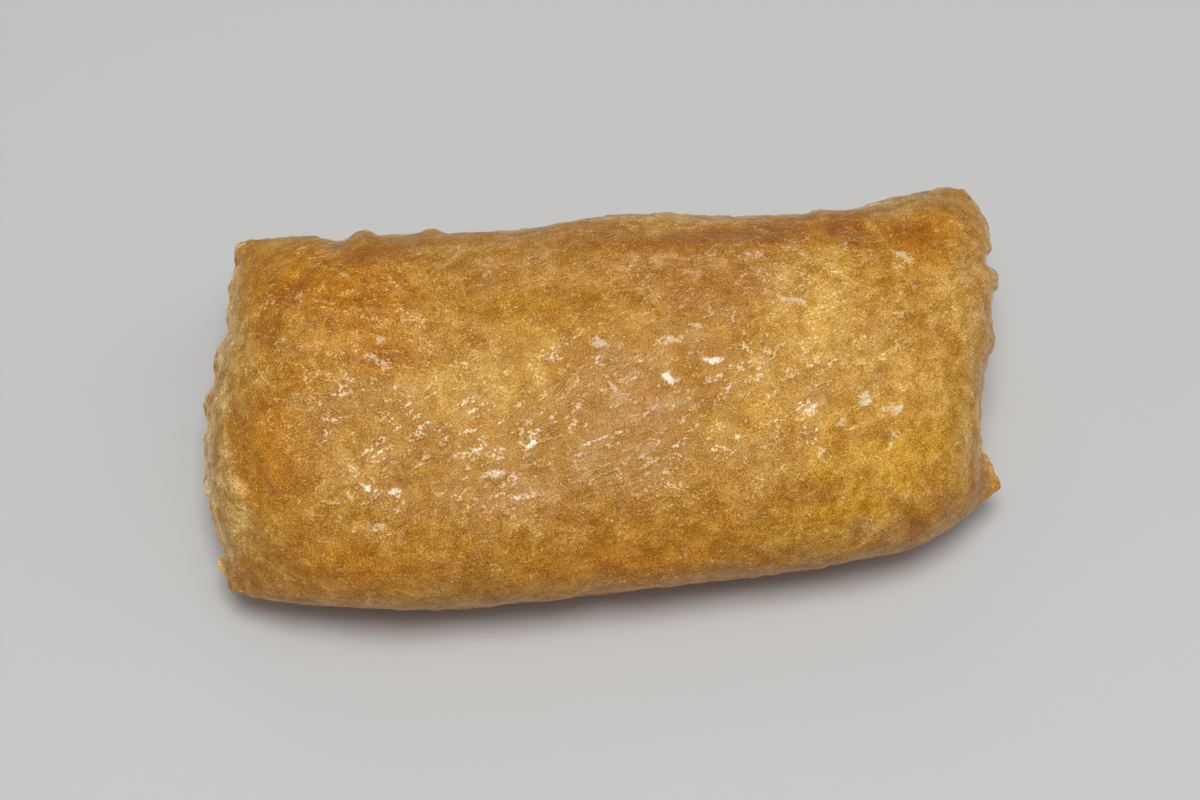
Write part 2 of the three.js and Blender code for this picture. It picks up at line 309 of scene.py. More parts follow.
def blunt_end(s):
    """How full the puff still is at s, from 1 in the middle to 0 near the ends."""
    return np.clip(1 - np.abs(s / BODY_END) ** END_FULLNESS, 0, 1) ** (1 / END_ROUNDING)


def round_rim(s):
    """How thick the rim still is at s, from 1 to 0 on its rounded edge."""
    past_start = np.clip(np.abs(s) - RIM_START, 0, 1) / (1 - RIM_START)
    return np.sqrt(np.clip(1 - past_start**2, 0, 1))


def even_shares(across, up, count):
    """The shares, 0 to 1, at which a finely drawn line has to be read for count even steps."""
    lengths = np.concatenate([[0], np.cumsum(np.hypot(np.diff(across), np.diff(up)))])
    return np.interp(np.linspace(0, lengths[-1], count + 1), lengths, np.linspace(0, 1, len(across)))


def ring_places():
    """Ring places from end to end, even along the skin and so close together on the ends."""
    s = -np.cos(np.pi * np.linspace(0, 1, FINE_STEPS + 1))
    height = PUFF_UP * blunt_end(s) + RIM * round_rim(s)
    return -np.cos(np.pi * even_shares(HALF_LENGTH * s, height, RINGS - 1))


def ring_turns():
    """Turns round the section, even along each skin, without the last, which is the first again."""
    v, rise = section_place(np.pi * np.linspace(0, 1, FINE_STEPS + 1))
    upper = np.pi * even_shares(HALF_WIDTH * v, PUFF_UP * rise, UPPER_STEPS)
    return np.concatenate([upper, 2 * np.pi - upper[-3:0:-2]])


def skin_points(s, turn):
    """Points of the skin and where each lies: x and q in the middle plane, and rise from it."""
    v, rise = section_place(turn)
    upper = np.sin(turn) >= -ROUNDING
    x, q = middle_place(s, v)
    flat_corner = 1 - CORNER_FLATNESS * corner_share(s, v, FLATNESS_POWERS)
    body = np.where(upper, PUFF_UP, PUFF_DOWN) * rise * blunt_end(s) * flat_corner
    w = np.cbrt(body**3 + (RIM * np.sqrt(rise) * round_rim(s)) ** 3)
    fade = np.minimum(1, RELIEF_FADE * rise) * round_rim(s)
    w = w + np.where(upper, upper_relief(*wander(x, q, 0 * x, *RELIEF_WANDER)) * fade, 0)
    w = np.where(upper, w, -w)
    swell = lumps_at(x, q, w) * round_rim(s)
    q_out = q + SIDEWAYS_SWELL * swell * np.cos(turn)
    w = w + swell * np.sin(turn)
    y = q_out * math.cos(LIE) - w * math.sin(LEAN)
    z = rest_on_table(CENTRE_HEIGHT + q_out * math.sin(LIE) + w * math.cos(LEAN))
    z = np.where(upper, z, z + mouth_fold(x, y))
    return np.stack([x, y, z], -1), x, q, np.where(upper, rise, -rise)


# ---------------------------------------------------------------------------------------------
# Random heights over space, the same on every run

NOISE_CELLS = 256  # a power of 2
NOISE_GAIN = 1.7  # brings the noise to about -1 to 1
FOLD_SHARPNESS = 4


def noise(points, seed):
    """Smooth noise, about -1 to 1, over points measured in cells of the noise."""
    random = np.random.default_rng(seed)
    turns = random.permutation(NOISE_CELLS)
    directions = random.normal(size=(NOISE_CELLS, 3))
    directions /= np.linalg.norm(directions, axis=1)[:, None]
    cell = np.floor(points).astype(int)
    inside = points - cell
    ease = inside**3 * (inside * (inside * 6 - 15) + 10)
    total = np.zeros(points.shape[:-1])
    for corner in np.ndindex(2, 2, 2):
        at = (cell + corner) % NOISE_CELLS
        pick = turns[at[..., 0]]
        for axis in (1, 2):
            pick = turns[(pick + at[..., axis]) % NOISE_CELLS]
        weight = np.prod(np.where(corner, ease, 1 - ease), axis=-1)
        total += weight * np.sum(directions[pick] * (inside - corner), axis=-1)
    return NOISE_GAIN * total


def folds(points, seed):
    """Rounded folds with narrow valleys between them: 0 in a valley, up to about 1 on top."""
    return 1 - np.exp(-np.abs(noise(points, seed)) * FOLD_SHARPNESS)


def layered(points, layers, pattern=noise):
    """Layers of noise added up: the cell's size, the layer's share and its seed."""
    return sum(share * pattern(points / cell, seed) for cell, share, seed in layers)


def wander(x, q, depth, reaches, cell, seeds):
    """x and q moved by noise, by about the reaches at most."""
    place = np.stack([x, q, depth], -1) / cell
    return x + reaches[0] * noise(place, seeds[0]), q + reaches[1] * noise(place, seeds[1])


# ---------------------------------------------------------------------------------------------
# What a user would change


def height_setting(name, description, default, soft_max=1 * MM):
    return bpy.props.FloatProperty(
        name=name, description=description, default=default,
        min=0, soft_max=soft_max, precision=6, unit="LENGTH",
    )


def colour_setting(name, description, default, most=1):
    return bpy.props.FloatVectorProperty(
        name=name, description=description, default=default,
        size=3, min=0, max=most, subtype="COLOR",
    )


def power_setting(name, description, default):
    return bpy.props.FloatProperty(
        name=name, description=description, default=default, min=0, unit="POWER",
    )


class InariRelief(bpy.types.PropertyGroup):
    """Heights of the skin's relief"""

    lump_height: height_setting("Lumps", "Height of the lumps that the rice presses out", 0.12 * MM)
    fold_height: height_setting(
        "Folds", "Height of the wrinkles that run along the pouch", 0.07 * MM,
    )
    wrinkle_height: height_setting(
        "Fine wrinkles", "Height of the fine wrinkles on the folds", 0.03 * MM, soft_max=0.5 * MM,
    )
    crumb_height: height_setting("Crumbs", "Unevenness of the fried crust along the rim", 0.28 * MM)
    grain_height: height_setting(
        "Grain", "Height of the frying bubbles' grain in the material", 0.15 * MM, soft_max=0.3 * MM,
    )


class InariColours(bpy.types.PropertyGroup):
    """Colours of the tofu skin"""

    tan: colour_setting("Tan", "The skin's usual colour", (0.47, 0.206, 0.014))
    golden: colour_setting("Golden", "The skin where it is thin and pale", (0.66, 0.343, 0.04))
    ochre: colour_setting(
        "Ochre", "The skin where it has soaked up the most broth", (0.57, 0.265, 0.012),
    )
    amber: colour_setting("Amber", "The skin where it was fried a little more", (0.5, 0.185, 0.006))
    # Brown also carries the painted shade in the dents and creases and towards the table.
    brown: colour_setting("Brown", "The skin where it was fried the most", (0.36, 0.11, 0.003))
    blush: colour_setting("Blush", "The skin where it has dried a little", (0.5, 0.23, 0.034))
    pale: colour_setting(
        "Pale", "The strip of the seam that the frying didn't brown", (0.64, 0.355, 0.056),
    )
    # Partly the dry crust's own colour, partly painted light on the edges that it covers.
    crust: colour_setting("Crust", "The dry crust along the rim", (0.8, 0.46, 0.1))
    # Painted highlight: the cream of the glints on the ripples' tops.
    glint: colour_setting(
        "Glint", "The tops of the ripples under a thin film of broth", (0.8, 0.61, 0.38),
    )
    # Partly the gathered film's milky colour, partly a painted highlight on it.
    film: colour_setting("Film", "The milky film where the broth has gathered", (0.72, 0.65, 0.66))
    deep_tint: colour_setting(
        "Deep tint", "What the grain's low places multiply the colour by", (0.66, 0.5, 0.08),
    )
    light_tint: colour_setting(
        "Light tint", "What the grain's high places multiply the colour by", (1.47, 1.74, 4.5), most=8,
    )
    # Painted highlight: lightens the ripples' tops and the film's glints.
    highlight_tint: colour_setting(
        "Pale tint", "What the tops of the ripples multiply the colour by", (1.45, 1.8, 3.6), most=4,
    )


class InariStage(bpy.types.PropertyGroup):
    """Floor, light and camera"""

    floor_colour: colour_setting("Floor", "Colour of the floor", (0.62, 0.61, 0.595))
    key_power: power_setting("Key light", "Power of the light close over the pouch", 1.78)
    soft_power: power_setting("Softbox", "Power of the broad light over the pouch", 0.5)
    fill_power: power_setting("Fill light", "Power of the wide soft light", 0.9)
    side_power: power_setting("Side light", "Power of the wide soft light beside the pouch", 0.45)
    back_power: power_setting("Back light", "Power of the wide soft light behind the pouch", 0.5)
    sky: bpy.props.FloatProperty(
        name="Room light", description="Brightness of the room all round",
        default=0.16, min=0,
    )
    elevation: bpy.props.FloatProperty(
        name="Elevation", description="How high the camera looks from",
        default=math.radians(60), subtype="ANGLE", unit="ROTATION",
    )
    azimuth: bpy.props.FloatProperty(
        name="Azimuth", description="How far round the camera stands, 0 in front",
        default=math.radians(-7.2), subtype="ANGLE", unit="ROTATION",
    )
    lens: bpy.props.FloatProperty(
        name="Lens", description="Focal length of the camera",
        default=80, min=1, unit="CAMERA",
    )


# ---------------------------------------------------------------------------------------------
# The pouch's mesh


def grid_faces():
    """Faces of the tube of rings, and each corner's place on the unrolled skin, 0 to 1.

    The two end rings are one line each, which both skins share. Every face has four corners, and
    a triangle has its last one twice.
    """
    around = UPPER_STEPS + LOWER_STEPS
    inner = RINGS - 2
    up = np.concatenate([np.arange(UPPER_STEPS), UPPER_STEPS + 2 * np.arange(LOWER_STEPS + 1)])
    column = np.arange(around)
    following = (column + 1) % around
    ring = np.arange(inner - 1)[:, None]
    here, beyond = ring * around, (ring + 1) * around
    corners = [here + column, here + following, beyond + following, beyond + column]
    faces = np.stack(corners, -1).reshape(-1, 4)
    rings = np.stack(np.broadcast_arrays(ring + 1, ring + 1, ring + 2, ring + 2, column)[:4], -1)
    ups = np.stack(np.broadcast_arrays(up[:-1], up[1:], up[1:], up[:-1], ring)[:4], -1)
    places = np.stack([rings, ups], -1).reshape(-1, 4, 2)
    for end in (0, 1):
        first = (inner - 1) * around * end
        line = inner * around + end * (UPPER_STEPS + 1)
        near, far = (inner, inner + 1) if end else (1, 0)
        joined, unrolled = [], []
        for j in range(UPPER_STEPS):
            joined.append((first + j, first + j + 1, line + j + 1, line + j))
            unrolled.append(((near, j), (near, j + 1), (far, j + 1), (far, j)))
        for j in range(LOWER_STEPS):
            a, b = first + UPPER_STEPS + j, first + following[UPPER_STEPS + j]
            tip = line + UPPER_STEPS - 2 * j
            k = UPPER_STEPS + 2 * j
            joined += [(a, tip - 1, tip, tip), (a, b, tip - 1, tip - 1), (b, tip - 2, tip - 1, tip - 1)]
            unrolled += [
                ((near, k), (far, k + 1), (far, k), (far, k)),
                ((near, k), (near, k + 2), (far, k + 1), (far, k + 1)),
                ((near, k + 2), (far, k + 2), (far, k + 1), (far, k + 1)),
            ]
        joined, unrolled = np.array(joined), np.array(unrolled)
        if not end:  # the other way round, to face out: a triangle's repeated corner stays last
            joined, unrolled = joined[:, [1, 0, 3, 2]], unrolled[:, [1, 0, 3, 2]]
        faces = np.concatenate([faces, joined])
        places = np.concatenate([places, unrolled])
    return faces, places / (RINGS - 1, up[-1])


def face_normals(points, faces):
    """Unit normals of the points, from the faces round them."""
    normals = np.zeros_like(points)
    a, b, c, d = (points[faces[:, k]] for k in range(4))
    turned = np.cross(c - a, d - b)
    for k in range(4):
        np.add.at(normals, faces[:, k], turned)
    return normals / np.maximum(np.linalg.norm(normals, axis=1), LEAST_LENGTH)[:, None]


def pouch_points():
    """All points of the skin in mm, with each one's x, q and rise, and its s from end to end."""
    s, turns = ring_places(), ring_turns()
    inner_s, inner_turn = np.meshgrid(s[1:-1], turns, indexing="ij")
    end_s, end_turn = np.meshgrid(s[[0, -1]], turns[: UPPER_STEPS + 1], indexing="ij")
    all_s = np.concatenate([inner_s.ravel(), end_s.ravel()])
    all_turn = np.concatenate([inner_turn.ravel(), end_turn.ravel()])
    return *skin_points(all_s, all_turn), all_s


# The fine relief, as layers of noise: cell in mm, share, seed
FLOW = [((17, 14, 14), 2.6, 21), ((7, 6, 6), 1.2, 22)]  # bends the folds and wrinkles
ROUGH = [((9, 6, 6), 1, 23)]  # where they are deep
LUMP_NOISE = [(4.2, 1, 24), (2.4, 0.5, 25)]
FOLD_NOISE = [((3.4, 1.5, 1.5), 1, 26), ((2, 1.5, 1.5), 0.5, 31)]
WRINKLE_NOISE = [((1.2, 0.75, 0.75), 1, 27), ((0.7, 0.6, 0.6), 0.6, 28)]
CRUMB_NOISE = [(1.5, 1, 29), (0.8, 0.6, 30)]
ROUGH_RANGE = (-0.35, 0.45)  # of the noise, from calm to rough
ROUGH_LEAST = 0.4
ARC_START = -5  # x from which the folds arc to the front
ARC_RADIUS = 55
ARC_FADE = (14, 6)  # q where the arc fades in
FOLDED_CENTRE = (0, -1, 30, 17, 0)  # a patch: x, q, half length, half width, turn
OUTER_FOLDS = 0.5  # share of their height that the folds keep away from that centre
CRUST_CALM = 0.5  # share of the relief that is lost to the crust
CRUST_RISE = 0.35  # how far up the skin the crust reaches along the edges
CRUST_FADE = 1.5
CRUST_START = 0.94  # and from where at the ends
TABLE_FADE = 2.5  # height over the table up to which the relief is flattened
RIDGE_STRENGTH = 0.6


def crust_share(rise, s):
    """1 where the crumbs of the crust cover the rim, 0 inside it."""
    sides = np.clip(1 - np.abs(rise) / CRUST_RISE, 0, 1) ** CRUST_FADE
    return np.maximum(sides, smooth_step(CRUST_START, 1, np.abs(s)))


def relief_of(points, x, q, rise, s, relief):
    """Height in mm by which the skin's wrinkles and crust stand out, and the wrinkles alone."""
    flow = layered(points, FLOW)
    arc = np.clip(x - ARC_START, 0, None) ** 2 / (2 * ARC_RADIUS) * smooth_step(*ARC_FADE, q)
    drawn = points + np.stack([0 * flow, flow - arc, flow], -1)
    rough = ROUGH_LEAST + (1 - ROUGH_LEAST) * smooth_step(*ROUGH_RANGE, layered(points, ROUGH))
    folded = OUTER_FOLDS + (1 - OUTER_FOLDS) * patch(x, q, *FOLDED_CENTRE)
    wrinkle = layered(drawn, WRINKLE_NOISE)
    rim = crust_share(rise, s)
    height = relief.lump_height * layered(points, LUMP_NOISE)
    height = height + relief.fold_height * layered(drawn, FOLD_NOISE, folds) * rough * folded
    height = height + relief.wrinkle_height * wrinkle * rough
    crumbs = layered(points, CRUMB_NOISE)
    height = height * (1 - CRUST_CALM * rim) + relief.crumb_height * crumbs * rim
    return height / MM, wrinkle


def build_mesh(relief):
    """The skin's mesh, with each point's place in mm and its x, q, rise and s."""
    points, x, q, rise, s = pouch_points()
    faces, places = grid_faces()
    height, wrinkle = relief_of(points, x, q, rise, s, relief)
    on_table = smooth_step(0, TABLE_FADE, points[:, 2])
    lift = np.where(rise < 0, on_table, 1)
    points = points + face_normals(points, faces) * (height * lift)[:, None]
    points[:, 2] = np.maximum(points[:, 2], 0)
    middle = (points.min(0) + points.max(0)) / 2
    points[:, :2] -= middle[:2]

    mesh = bpy.data.meshes.new("tofu_skin")
    triangle = faces[:, 2] == faces[:, 3]
    mesh.from_pydata(points * MM, [], [f[: 4 - t].tolist() for f, t in zip(faces, triangle)])
    mesh.shade_smooth()
    unrolled = mesh.uv_layers.new(name="OFBake")
    kept = np.ones(faces.shape, bool)
    kept[triangle, 3] = False
    unrolled.uv.foreach_set("vector", places[kept].astype(np.float32).ravel())
    store(mesh, "ridge", np.clip(0.5 + RIDGE_STRENGTH * wrinkle, 0, 1))
    return mesh, points, x, q, rise, s


# Where the skin differs: patches of x, q, half length, half width, turn in degrees, amount. The
# colours lie over each other in this order. Falling is where the ripples run down to the right.
ZONES = {
    "golden": [
        (-13, 3.3, 11, 6, 0, 0.7), (-24.5, -2.5, 5, 4, 0, 0.5), (20.5, 6, 13, 8, 65, 1),
        (27, -1, 9, 8, 0, 0.6), (37, -1, 6, 14, 0, 1), (-36, 11, 3.5, 10, 10, 1),
        (31, -8, 10, 8, 0, 0.4),
    ],
    "ochre": [
        (25, -8.5, 13, 8, 0, 1), (13, -3, 6, 4, 15, 0.6), (20, -14.5, 13, 4.5, 3, 0.8),
        (-5, 8, 12, 4, -10, 0.5),
    ],
    "blush": [
        (1, -2, 9, 11, 0, 1), (11, 11, 14, 6, -5, 0.8), (-8, -8, 11, 6, 0, 0.8),
        (0, 15, 34, 5, -2, 0.6), (26, -14, 14, 5, 5, 0.35), (38, 0, 4, 14, 0, 0.9),
        # These two lighten a ridge and a swelling of the relief: painted light.
        (-27.7, 15.3, 4.5, 1.1, 50, 0.9), (-29.2, 8.9, 1.8, 2.4, 0, 0.45),
    ],
    "amber": [
        (-26, 14, 16, 7, -8, 1), (-21.8, 7, 6, 3.6, -20, 0.9), (-28.5, 7, 4, 4, 0, 0.5),
        (-32.8, -1.5, 5, 9, 0, 0.9), (26, 14.8, 7, 4, 0, 1), (34, 13, 6, 5, 0, 0.8),
        (0, -16, 24, 5, 3, 0.7), (-26, -14, 14, 5, 0, 0.7),
    ],
    "brown": [
        # Many of these lie in the dents and creases of the relief above, the ear's grooves and the
        # crease along the back among them, and darken them as painted shade; the rest are the frying's
        # browning.
        (-28.9, 14.2, 3.6, 2, 30, 1), (-32, 10.5, 1.6, 3.4, 0, 0.8), (-21, 17.3, 6, 1.7, 0, 1),
        (-35.6, -2, 1.4, 8, 0, 0.6), (-20.8, 6.6, 2.2, 1.3, -20, 0.8),
        (-27.3, 2.3, 1.4, 1.8, 0, 0.6), (-33.4, 4, 1.4, 2.6, 0, 0.6), (-31.5, -5, 3, 4, 0, 0.4),
        (11, 15.5, 18, 3, -4, 0.9), (-3, 9.5, 6, 3.4, -10, 0.4), (12, 9, 10, 4, -10, 0.4),
        (19, 14.5, 7, 3, 0, 0.35), (26, 14.3, 3, 3, 0, 1), (31.8, 13.4, 3, 2.2, 0, 0.9),
        (12, 3.6, 8, 2.4, 0, 0.4), (4, -2.5, 3.5, 2.4, 50, 0.5), (22.3, -6, 3.6, 2, 20, 0.3),
        (36.6, -12.5, 3, 3, 0, 0.3), (24, -13.5, 2, 1, 20, 0.5), (33, -15, 9, 3.6, 10, 0.15),
    ],
    "pale": [
        # The patches at x 30.5 and 28.7 lighten the ridge between the ear's grooves: painted light.
        (-36.3, 12, 1.6, 8, 10, 0.4), (10, 17.4, 13, 1.8, -4, 0.7), (30.5, 16.9, 3.4, 2, 10, 0.7),
        (28.7, 14.2, 2.4, 0.9, -54, 0.4),
    ],
    "crust": [
        (38, 7, 5, 13, 0, 0.2),
    ],
    "wet": [
        (-2, 0, 34, 17, 0, 0.8), (0, 0, 14, 11, 0, 0.3), (-24, 6, 14, 10, 0, 0.5),
        (23, 6, 12, 10, 0, 0.4), (-12.5, -6.5, 8, 4, 0, 0.6), (-29, 8, 9, 8, 0, 0.3),
    ],
    "falling": [
        (-25, 9, 20, 14, 0, 1), (20, 13, 12, 7, 0, 1),
    ],
}
MASKS = ("wet", "falling")
COLOUR_ZONES = tuple(name for name in ZONES if name not in MASKS)

# The same under the pouch, by noise: zone, amount, the noise's share, cell in mm, seed
UNDER_ZONES = [("brown", 0.2, 0.4, 9, 43), ("golden", 0.2, 0.6, 11, 44), ("amber", 0.5, 0.6, 7, 47)]
UNDER_RISE = 0.3  # how soon they come in below the rim
TABLE_SHADE = (8, 2, 0.9)  # heights between which the painted shade near the table comes in, drawn as brown, and its amount
RISE_DEPTH = 6  # mm that the whole rise counts for in the zones' noise
WET_LEAST = 0.25
SEAM = ((-35.2, -37), (8, 3), (-13, -9))  # the left end's seam: x, and q at its back and front
SEAM_PALE = (0.75, 0.5)  # above and below the rim
# The right end paler: partly the seam's own colour, partly painted light from the right.
RIGHT_PALE = (38.3, 40.5, 0.4)
# The crust's pale colour on the back edge and round the ends is partly the dry crust's own and partly
# painted light on these edges.
CRUSTED_EDGE = ((0.3, 0.02), (-10, 0))  # the back edge's crust: rise, q
CRUSTED_END = (0.96, 0.995)
CRUSTED_RIGHT = 0.6  # the right end's crust, against the left end's
CRUST_NOISE = [(3, 1, 48)]
CRUST_RANGE = (-0.9, 0.3)
CRUST_AMOUNT = 0.8
SOFT_CORNER = (40, -16, 12, 10, 0)  # the front right ear, which the crust hardly covers
SOFT_CRUST, SOFT_BLUSH, SOFT_AMBER = 0.7, 0.55, 0.8
FRONT_RANGE = (-7, -13)  # q where the front's mottling comes in
BROWN_MOTTLE, GOLDEN_MOTTLE = [(4, 0.2, 45)], [(5, 0.35, 46)]
FRONT_BROWN, FRONT_BLUSH = [(2.2, 0.75, 49)], [(3, 0.7, 50)]

# Groups of spots where the broth's film has gathered and shines: x, q, half length and half width
# of the group, how many spots it has, their turn and their amount
# Besides the coat's real shine, the spots' colour paints a milky highlight on them.
FILM_GROUPS = [
    (5, 5, 11, 6, 12, -25, 0.75),
    (2, -4, 8, 4, 9, 0, 0.7),
    (-11, -6, 7, 4, 6, 15, 0.65),
    (13, -7, 6, 4, 4, 25, 0.5),
    (23, -5, 5, 4, 9, 45, 0.9),
    (25, 8, 8, 6, 9, -50, 0.8),
    (-26, 11, 7, 5, 8, -40, 0.7),
    (-21, 6, 5, 3, 6, -20, 0.75),
    (-24, -5, 8, 6, 10, -20, 0.75),
]
SPOT_HALF_LENGTHS = (0.7, 2)
SPOT_HALF_WIDTHS = (0.4, 0.7)
SPOT_SWAY = 25  # how far a spot may turn away from its group, in degrees
SPOT_SPREAD = 0.2  # how far a spot's amount may lie from its group's
SPOT_SEED = 61


def crust_and_edge_light_share(x, q, rise, s):
    """1 on the crusted edges: along the back and round both ends. Their pale colour is partly the dry
    crust's and partly painted light on these edges.
    """
    rise_range, q_range = CRUSTED_EDGE
    back = smooth_step(*rise_range, np.abs(rise)) * smooth_step(*q_range, q)
    ends = np.where(x < 0, 1, CRUSTED_RIGHT) * smooth_step(*CRUSTED_END, np.abs(s))
    return np.maximum(back, ends)


def zone_amounts(points, x, q, rise, s):
    """How much of each zone the skin has at each point, 0 to 1."""
    x_at, q_at = wander(x, q, RISE_DEPTH * rise, *ZONE_WANDER)
    amounts = {name: np.zeros(len(x)) for name in ZONES}
    upper = rise >= 0
    for name, patches in ZONES.items():
        for *place, amount in patches:
            amounts[name] += np.where(upper, amount * patch(x_at, q_at, *place), 0)
    below = np.where(upper, 0, smooth_step(0, UNDER_RISE, -rise))
    for name, amount, share, cell, seed in UNDER_ZONES:
        amounts[name] += below * (amount + share * noise(points / cell, seed))
    # Darker towards the table: painted shade, drawn in the brown zone.
    high, low, amount = TABLE_SHADE
    amounts["brown"] += amount * smooth_step(high, low, points[:, 2])
    amounts["wet"] += WET_LEAST

    x_range, back_range, front_range = SEAM
    seam = smooth_step(*x_range, x_at) * smooth_step(*back_range, q_at)
    seam = seam * smooth_step(*front_range, q_at)
    amounts["pale"] += seam * np.where(upper, *SEAM_PALE)
    # The right end paler: partly the seam's own colour, partly painted light from the right.
    start, end, amount = RIGHT_PALE
    amounts["pale"] += amount * smooth_step(start, end, x_at)
    soft_corner = patch(x, q, *SOFT_CORNER)
    # Pale along the back edge and round the ends: partly the dry crust's colour, partly painted light
    # on the edges.
    crust = CRUST_AMOUNT * crust_and_edge_light_share(x, q, rise, s)
    crust = crust * smooth_step(*CRUST_RANGE, layered(points, CRUST_NOISE))
    amounts["crust"] += crust * (1 - SOFT_CRUST * soft_corner)
    amounts["blush"] += SOFT_BLUSH * soft_corner
    amounts["amber"] *= 1 - SOFT_AMBER * soft_corner

    front = smooth_step(*FRONT_RANGE, q)
    amounts["brown"] += layered(points, BROWN_MOTTLE) * (1 - amounts["pale"])
    amounts["brown"] += front * layered(points, FRONT_BROWN)
    amounts["blush"] += front * layered(points, FRONT_BLUSH)
    amounts["golden"] += layered(points, GOLDEN_MOTTLE)
    return {name: np.clip(amount, 0, 1) for name, amount in amounts.items()}


def draw_spots():
    """The spots of film: x, q, half length, half width, turn and amount of each."""
    draw = np.random.default_rng(SPOT_SEED)
    spots = []
    for x, q, half_length, half_width, count, turn, amount in FILM_GROUPS:
        for _ in range(count):
            out = math.sqrt(draw.random())
            around = draw.uniform(0, math.tau)
            place = (x + half_length * out * math.cos(around), q + half_width * out * math.sin(around))
            sizes = (draw.uniform(*SPOT_HALF_LENGTHS), draw.uniform(*SPOT_HALF_WIDTHS))
            spot_turn = turn + draw.uniform(-SPOT_SWAY, SPOT_SWAY)
            spot_amount = min(1, amount + draw.uniform(-SPOT_SPREAD, SPOT_SPREAD))
            spots.append((*place, *sizes, spot_turn, spot_amount))
    return spots


def film_spots(x, q, rise):
    """How much film lies at each point, 0 to 1."""
    x_at, q_at = wander(x, q, 0 * x, *SPOT_WANDER)
    film = np.zeros(len(x))
    for *place, amount in draw_spots():
        film = np.maximum(film, amount * np.sqrt(patch(x_at, q_at, *place)))
    return np.where(rise >= 0, film, 0)


def store(mesh, name, values):
    attribute = mesh.attributes.new(name, "FLOAT", "POINT")
    attribute.data.foreach_set("value", values.astype(np.float32))


# ---------------------------------------------------------------------------------------------
# Materials


class Nodes:
    """Places nodes in a tree and links them, from left to right."""

    def __init__(self, tree):
        self.tree = tree
        self.count = 0

    def add(self, kind, inputs=None, **settings):
        node = self.tree.nodes.new(kind)
        node.location = (220 * (self.count // 3), -260 * (self.count % 3))
        self.count += 1
        for name, value in settings.items():
            setattr(node, name, value)
        for name, value in (inputs or {}).items():
            self.set(node.inputs[name], value)
        return node

    def set(self, socket, value):
        if isinstance(value, bpy.types.NodeSocket):
            self.tree.links.new(value, socket)
        elif isinstance(value, bpy.types.Node):
            self.tree.links.new(value.outputs[0], socket)
        else:
            socket.default_value = value

    def math(self, operation, a, b, clamp=False):
        return self.add("ShaderNodeMath", {0: a, 1: b}, operation=operation, use_clamp=clamp)

    def plus(self, a, b):
        return self.math("ADD", a, b)

    def times(self, a, b):
        return self.math("MULTIPLY", a, b)

    def larger(self, a, b):
        return self.math("MAXIMUM", a, b)

    def from_middle(self, value):
        """How far a value of about 0 to 1 lies from its middle."""
        return self.math("SUBTRACT", value, 0.5)

    def ramp(self, value, low, high, to_low=0.0, to_high=1.0):
        return self.add(
            "ShaderNodeMapRange",
            {"Value": value, "From Min": low, "From Max": high, "To Min": to_low, "To Max": to_high},
            interpolation_type="SMOOTHSTEP",
        )

    def mix(self, share, a, b, blend="MIX"):
        node = self.add("ShaderNodeMix", data_type="RGBA", blend_type=blend)
        for socket, value in ((0, share), (6, a), (7, b)):  # the sockets of a colour mix
            self.set(node.inputs[socket], value)
        return node.outputs[2]

    def tinted(self, share, colour, tint):
        """A share of the colour multiplied by the tint, over the plain colour."""
        return self.mix(share, colour, self.mix(1.0, colour, tint, "MULTIPLY"))

    def noise(self, place, scale, detail=2.0, roughness=0.5, distortion=0.0):
        return self.add(
            "ShaderNodeTexNoise",
            {
                "Vector": place, "Scale": scale, "Detail": detail,
                "Roughness": roughness, "Distortion": distortion,
            },
        ).outputs[0]


def opaque(colour):
    return (*colour, 1.0)


def node_group(name, inputs, build):
    """The group of that name, built once: from a Place and these numbers it makes a Height."""
    if name in bpy.data.node_groups:
        return bpy.data.node_groups[name]
    tree = bpy.data.node_groups.new(name, "ShaderNodeTree")
    tree.interface.new_socket("Place", in_out="INPUT", socket_type="NodeSocketVector")
    for socket, default in inputs.items():
        number = tree.interface.new_socket(socket, in_out="INPUT", socket_type="NodeSocketFloat")
        number.default_value = default
    tree.interface.new_socket("Height", in_out="OUTPUT", socket_type="NodeSocketFloat")
    made = Nodes(tree)
    height = build(made, made.add("NodeGroupInput").outputs)
    made.set(made.add("NodeGroupOutput").inputs["Height"], height)
    return tree


FINE_SCALE = 2.3  # how many times finer the small bubbles are than the large ones
LARGE_SHARE = 0.6  # of the large bubbles in the height


def grain_height(made, given):
    """Fine grain of frying bubbles. Size is the largest bubble's, in metres."""
    scale = made.math("DIVIDE", 1.0, given["Size"])
    large = made.noise(given["Place"], scale, roughness=0.6)
    small = made.noise(given["Place"], made.times(scale, FINE_SCALE), detail=1.0)
    return made.plus(made.times(large, LARGE_SHARE), made.times(small, 1 - LARGE_SHARE))


def grain_group():
    return node_group("Fine grain", {"Size": 0.3 * MM}, grain_height)


def ripple_height(made, given):
    """Short curved ripples, 0 in their valleys to 1 on their ridges. Turn is which way they run."""
    turned = made.add(
        "ShaderNodeVectorRotate",
        {"Vector": given["Place"], "Angle": given["Turn"]},
        rotation_type="Z_AXIS",
    )
    draw = made.add("ShaderNodeCombineXYZ", {0: given["Stretch"], 1: 1.0, 2: 1.0})
    drawn = made.add("ShaderNodeVectorMath", {0: turned, 1: draw}, operation="MULTIPLY")
    swell = made.noise(drawn, made.math("DIVIDE", 1.0, given["Size"]), detail=1.5)
    waves = made.times(swell, given["Count"])
    return made.ramp(made.math("PINGPONG", waves, 0.5), 0.0, 0.5)


def ripple_group():
    inputs = {"Size": 1 * MM, "Stretch": 0.5, "Turn": 0.0, "Count": 3.0}
    return node_group("Ripples", inputs, ripple_height)


def new_material(name):
    material = bpy.data.materials.new(name)
    material.use_nodes = True
    material.node_tree.nodes.clear()
    return material, Nodes(material.node_tree)


